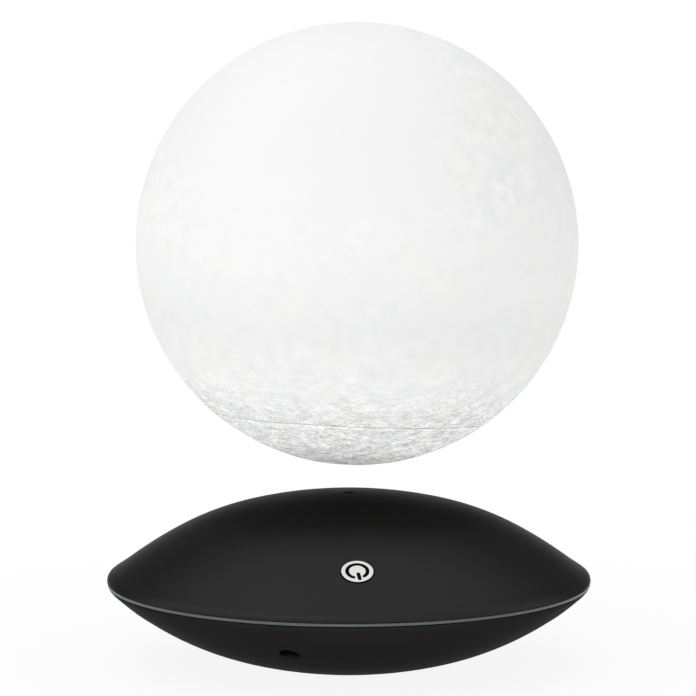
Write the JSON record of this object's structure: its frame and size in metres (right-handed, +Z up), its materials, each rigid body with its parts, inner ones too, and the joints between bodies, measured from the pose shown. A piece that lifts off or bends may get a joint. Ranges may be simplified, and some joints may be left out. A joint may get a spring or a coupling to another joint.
{
  "type": "moon lamp",
  "caption": "Hovering moon lamp: a white ball with a separate lower cap floats above a black saucer base that has a milky light band, a round power button and a power socket.",
  "frame": {"origin": "on the table under the middle of the saucer base, on the base's own axis", "axes": "+Z up along the base's axis, -Y towards the power button at the front, +X to its right"},
  "size_m": [0.165, 0.165, 0.218],
  "materials": {
    "screw_steel": "zinc plated, dark",
    "can_silver": "plain can",
    "inner_black": "moulded, plain",
    "chip_black": "moulded package",
    "ferrite": "sintered, dark grey",
    "board_green": "circuit board, green resist",
    "inner_white": "natural nylon",
    "steel_core": "plain steel",
    "lead_cover": "soft cable cover",
    "copper_wire": "enamelled copper",
    "nickel": "nickel plated",
    "contact_metal": "plated contact",
    "strip_white": "flexible strip, white",
    "board_white": "circuit board, white resist",
    "milky_band": "milky translucent, grey while the strip is off",
    "satin_black": "satin black, moulded",
    "printed_white": "white, printed in fine layers",
    "lamp_white": "clear resin over the chip",
    "button_grey": "light grey, fine satin",
    "foot_rubber": "matt black"
  },
  "bodies": {
    "base": {"board_screws": "screw_steel", "capacitors": "can_silver", "case_screws": "screw_steel", "chassis": "inner_black", "chassis_screws": "screw_steel", "chips": "chip_black", "chokes": "ferrite", "coil_board": "board_green", "coil_bobbins": "inner_white", "coil_cores": "steel_core", "coil_header": "chip_black", "coil_lead": "lead_cover", "coil_windings": "copper_wire", "control_board": "board_green", "dc_jack": "chip_black", "hall_sensors": "chip_black", "jack_pin": "contact_metal", "lead_plugs": "inner_white", "led_strip": "strip_white", "light_ring": "milky_band", "lower_shell": "satin_black", "pilot_lamp": "lamp_white", "plug_sockets": "inner_white", "power_coil": "copper_wire", "ring_magnet": "ferrite", "rubber_feet": "foot_rubber", "sensor_board": "board_green", "sensor_pins": "contact_metal", "sensor_post": "inner_white", "strip_lead": "lead_cover", "strip_leds": "lamp_white", "switch_board": "board_green", "switch_body": "chip_black", "switch_lead": "lead_cover", "switch_screws": "screw_steel", "upper_shell": "satin_black"},
    "button": {"power_button": "button_grey", "switch_plunger": "inner_black"},
    "magnet": {"float_magnet": "nickel"},
    "moon": {"moon_globe": "printed_white", "moon_cap": "printed_white", "receive_coil": "copper_wire", "ferrite_sheet": "ferrite", "magnet_tray": "inner_white", "tray_screws": "screw_steel", "light_board": "board_white", "moon_leds": "lamp_white", "regulators": "chip_black", "light_board_screws": "screw_steel", "receive_lead": "lead_cover"}
  },
  "joints": [
    {"name": "moon_lift", "type": "slide", "parent": "base", "child": "magnet", "axis": [0, 0, 1], "range_m": [-0.0091, 0.1], "stiffness_N_per_m": 80, "springref_m": 0.0436},
    {"name": "moon_spin", "type": "hinge", "parent": "magnet", "child": "moon", "pos_m": [0, 0, 0.07876], "axis": [0.0453, 0.061, 0.9971], "continuous": true},
    {"name": "button_press", "type": "slide", "parent": "base", "child": "button", "axis": [0, 0.5151, -0.8571], "range_m": [0, 0.0006], "stiffness_N_per_m": 2500, "springref_m": -0.0002}
  ]
}
